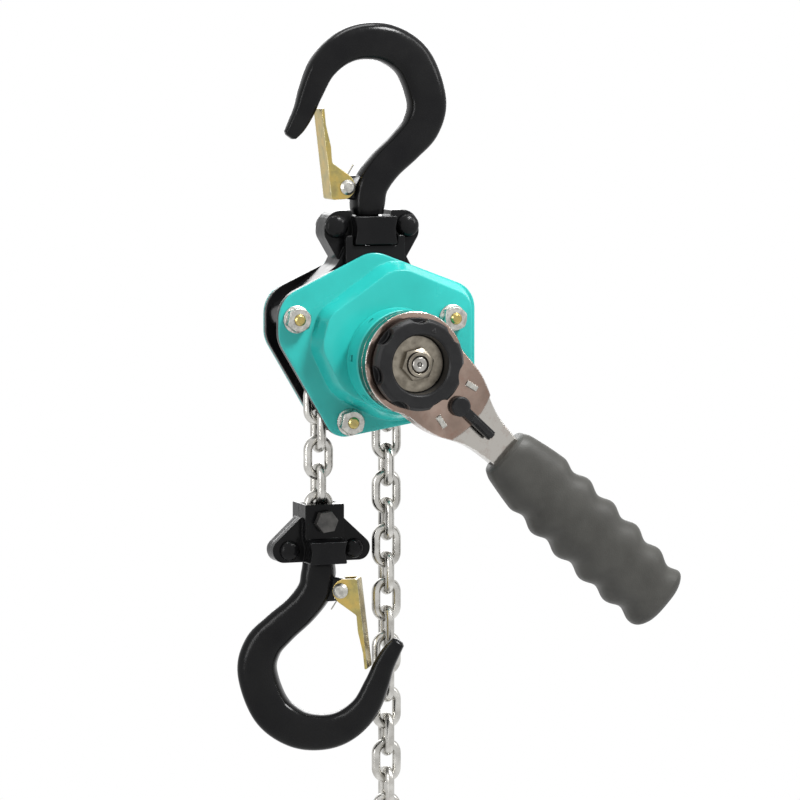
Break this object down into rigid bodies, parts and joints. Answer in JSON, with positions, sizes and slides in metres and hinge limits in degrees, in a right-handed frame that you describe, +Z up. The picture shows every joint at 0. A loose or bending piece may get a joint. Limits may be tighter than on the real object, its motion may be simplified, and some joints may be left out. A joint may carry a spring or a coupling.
{
  "type": "lever chain hoist",
  "caption": "Hand lever chain hoist: riveted steel body with pressed covers, pocket wheel, short-link chain, screw brake, ratchet lever with grip, and swivel hooks with sprung latches.",
  "frame": {"origin": "the inner top of the top hook's bowl, where the anchor bears, on the hook's swivel axis", "axes": "+Z up along the line of pull, -Y out of the front, where the lever is, +X to the right seen from the front"},
  "size_m": [0.1875, 0.0756, 0.3742],
  "materials": {
    "teal_paint": "gloss",
    "black_paint": "semi-gloss",
    "chrome_plate": "polished",
    "zinc_plate": "satin",
    "yellow_zinc": "satin",
    "chain_steel": "zinc plated",
    "dark_steel": "oiled",
    "gear_steel": "machined",
    "bronze_bush": "machined",
    "friction_lining": "matt",
    "black_moulding": "satin",
    "grey_grip": "matt"
  },
  "bodies": {
    "frame": {"rear_side_plate": "black_paint", "front_side_plate": "black_paint", "crosshead": "black_paint", "crosshead_rivets": "black_paint", "front_cover": "teal_paint", "brake_cover": "teal_paint", "rear_cover": "teal_paint", "stay_bolts": "yellow_zinc", "stay_nuts": "zinc_plate", "sheave_bushes": "bronze_bush", "shaft_bush": "bronze_bush", "brake_pawl_pin": "gear_steel", "chain_guide": "dark_steel", "wrapped_chain": "chain_steel"},
    "sheave": {"load_sheave": "gear_steel", "load_gear": "gear_steel"},
    "drive": {"drive_pinion": "gear_steel", "drive_shaft": "gear_steel", "brake_hub": "gear_steel", "friction_discs": "friction_lining", "change_gear": "gear_steel", "hand_wheel": "black_moulding", "wheel_washer": "zinc_plate", "shaft_nut": "zinc_plate"},
    "ratchet": {"ratchet_disc": "gear_steel"},
    "brake_catch": {"brake_pawl": "gear_steel"},
    "lever": {"lever_front_shell": "chrome_plate", "lever_rear_shell": "chrome_plate", "lever_stakes": "chrome_plate", "lever_grip": "grey_grip", "detent_plunger": "zinc_plate", "detent_spring": "zinc_plate"},
    "selector": {"direction_selector": "black_moulding", "change_pawl": "gear_steel"},
    "hook_top": {"top_hook": "black_paint", "top_hook_collar": "dark_steel", "top_latch_bolt": "zinc_plate", "top_latch_spring": "zinc_plate"},
    "latch_top": {"top_latch": "yellow_zinc"},
    "load_link_body": {"load_link": "chain_steel"},
    "load_chain_body": {"load_chain": "chain_steel"},
    "block": {"block_front_half": "black_paint", "block_rear_half": "black_paint", "block_rivets": "black_paint", "chain_bolt": "dark_steel", "chain_bolt_nut": "dark_steel"},
    "hook_bottom": {"bottom_hook": "black_paint", "bottom_hook_collar": "dark_steel", "bottom_latch_bolt": "zinc_plate", "bottom_latch_spring": "zinc_plate"},
    "latch_bottom": {"bottom_latch": "yellow_zinc"},
    "slack_link_body": {"slack_link": "chain_steel"},
    "slack_chain_body": {"slack_chain": "chain_steel", "chain_end_ring": "chain_steel"}
  },
  "joints": [
    {"name": "sheave_turn", "type": "hinge", "parent": "frame", "child": "sheave", "pos_m": [-0.007, 0, -0.12165], "axis": [0, 1, 0], "continuous": true, "deforming": ["wrapped_chain"]},
    {"name": "drive_turn", "type": "hinge", "parent": "frame", "child": "drive", "pos_m": [0.0056, 0, -0.12979], "axis": [0, 1, 0], "continuous": true},
    {"name": "ratchet_turn", "type": "hinge", "parent": "frame", "child": "ratchet", "pos_m": [0.0056, 0, -0.12979], "axis": [0, 1, 0], "continuous": true},
    {"name": "brake_pawl_lift", "type": "hinge", "parent": "frame", "child": "brake_catch", "pos_m": [0.01428, 0, -0.11413], "axis": [0, 1, 0], "range_deg": [0, 18], "stiffness_Nm_per_rad": 0.004, "springref_deg": -11.46},
    {"name": "lever_turn", "type": "hinge", "parent": "frame", "child": "lever", "pos_m": [0.0056, 0, -0.12979], "axis": [0, 1, 0], "continuous": true},
    {"name": "selector_turn", "type": "hinge", "parent": "lever", "child": "selector", "pos_m": [0.02611, 0, -0.14885], "axis": [0, 1, 0], "range_deg": [-16, 16]},
    {"name": "top_hook_swivel", "type": "hinge", "parent": "frame", "child": "hook_top", "pos_m": [0, 0, -0.07], "axis": [0, 0, 1], "continuous": true},
    {"name": "top_latch_open", "type": "hinge", "parent": "hook_top", "child": "latch_top", "pos_m": [-0.011, 0, -0.0553], "axis": [0, 1, 0], "range_deg": [0, 34], "stiffness_Nm_per_rad": 0.03, "springref_deg": -34.38},
    {"name": "load_link_swing", "type": "hinge", "parent": "frame", "child": "load_link_body", "pos_m": [-0.02283, 0, -0.15365], "axis": [0, 1, 0], "range_deg": [0, 15]},
    {"name": "load_chain_swing", "type": "hinge", "parent": "load_link_body", "child": "load_chain_body", "pos_m": [-0.02283, 0, -0.16565], "axis": [1, 0, 0], "range_deg": [-5, 0]},
    {"name": "block_swing", "type": "hinge", "parent": "load_chain_body", "child": "block", "pos_m": [-0.02283, 0, -0.2009], "axis": [0, 1, 0], "range_deg": [0, 7]},
    {"name": "bottom_hook_swivel", "type": "hinge", "parent": "block", "child": "hook_bottom", "pos_m": [-0.02283, 0, -0.2193], "axis": [0, 0, 1], "range_deg": [-90, 0]},
    {"name": "bottom_latch_open", "type": "hinge", "parent": "hook_bottom", "child": "latch_bottom", "pos_m": [-0.0133, -0.0055, -0.2316], "axis": [0.5, 0.866, 0], "range_deg": [0, 34], "stiffness_Nm_per_rad": 0.03, "springref_deg": -34.38},
    {"name": "slack_link_swing", "type": "hinge", "parent": "frame", "child": "slack_link_body", "pos_m": [0.00883, 0, -0.16965], "axis": [0, 1, 0], "range_deg": [-15, 0]},
    {"name": "slack_chain_swing", "type": "hinge", "parent": "slack_link_body", "child": "slack_chain_body", "pos_m": [0.00883, 0, -0.18165], "axis": [1, 0, 0], "range_deg": [0, 15]}
  ],
  "couplings": [
    {"joint": "sheave_turn", "follows": "drive_turn", "ratio": -0.71429}
  ]
}
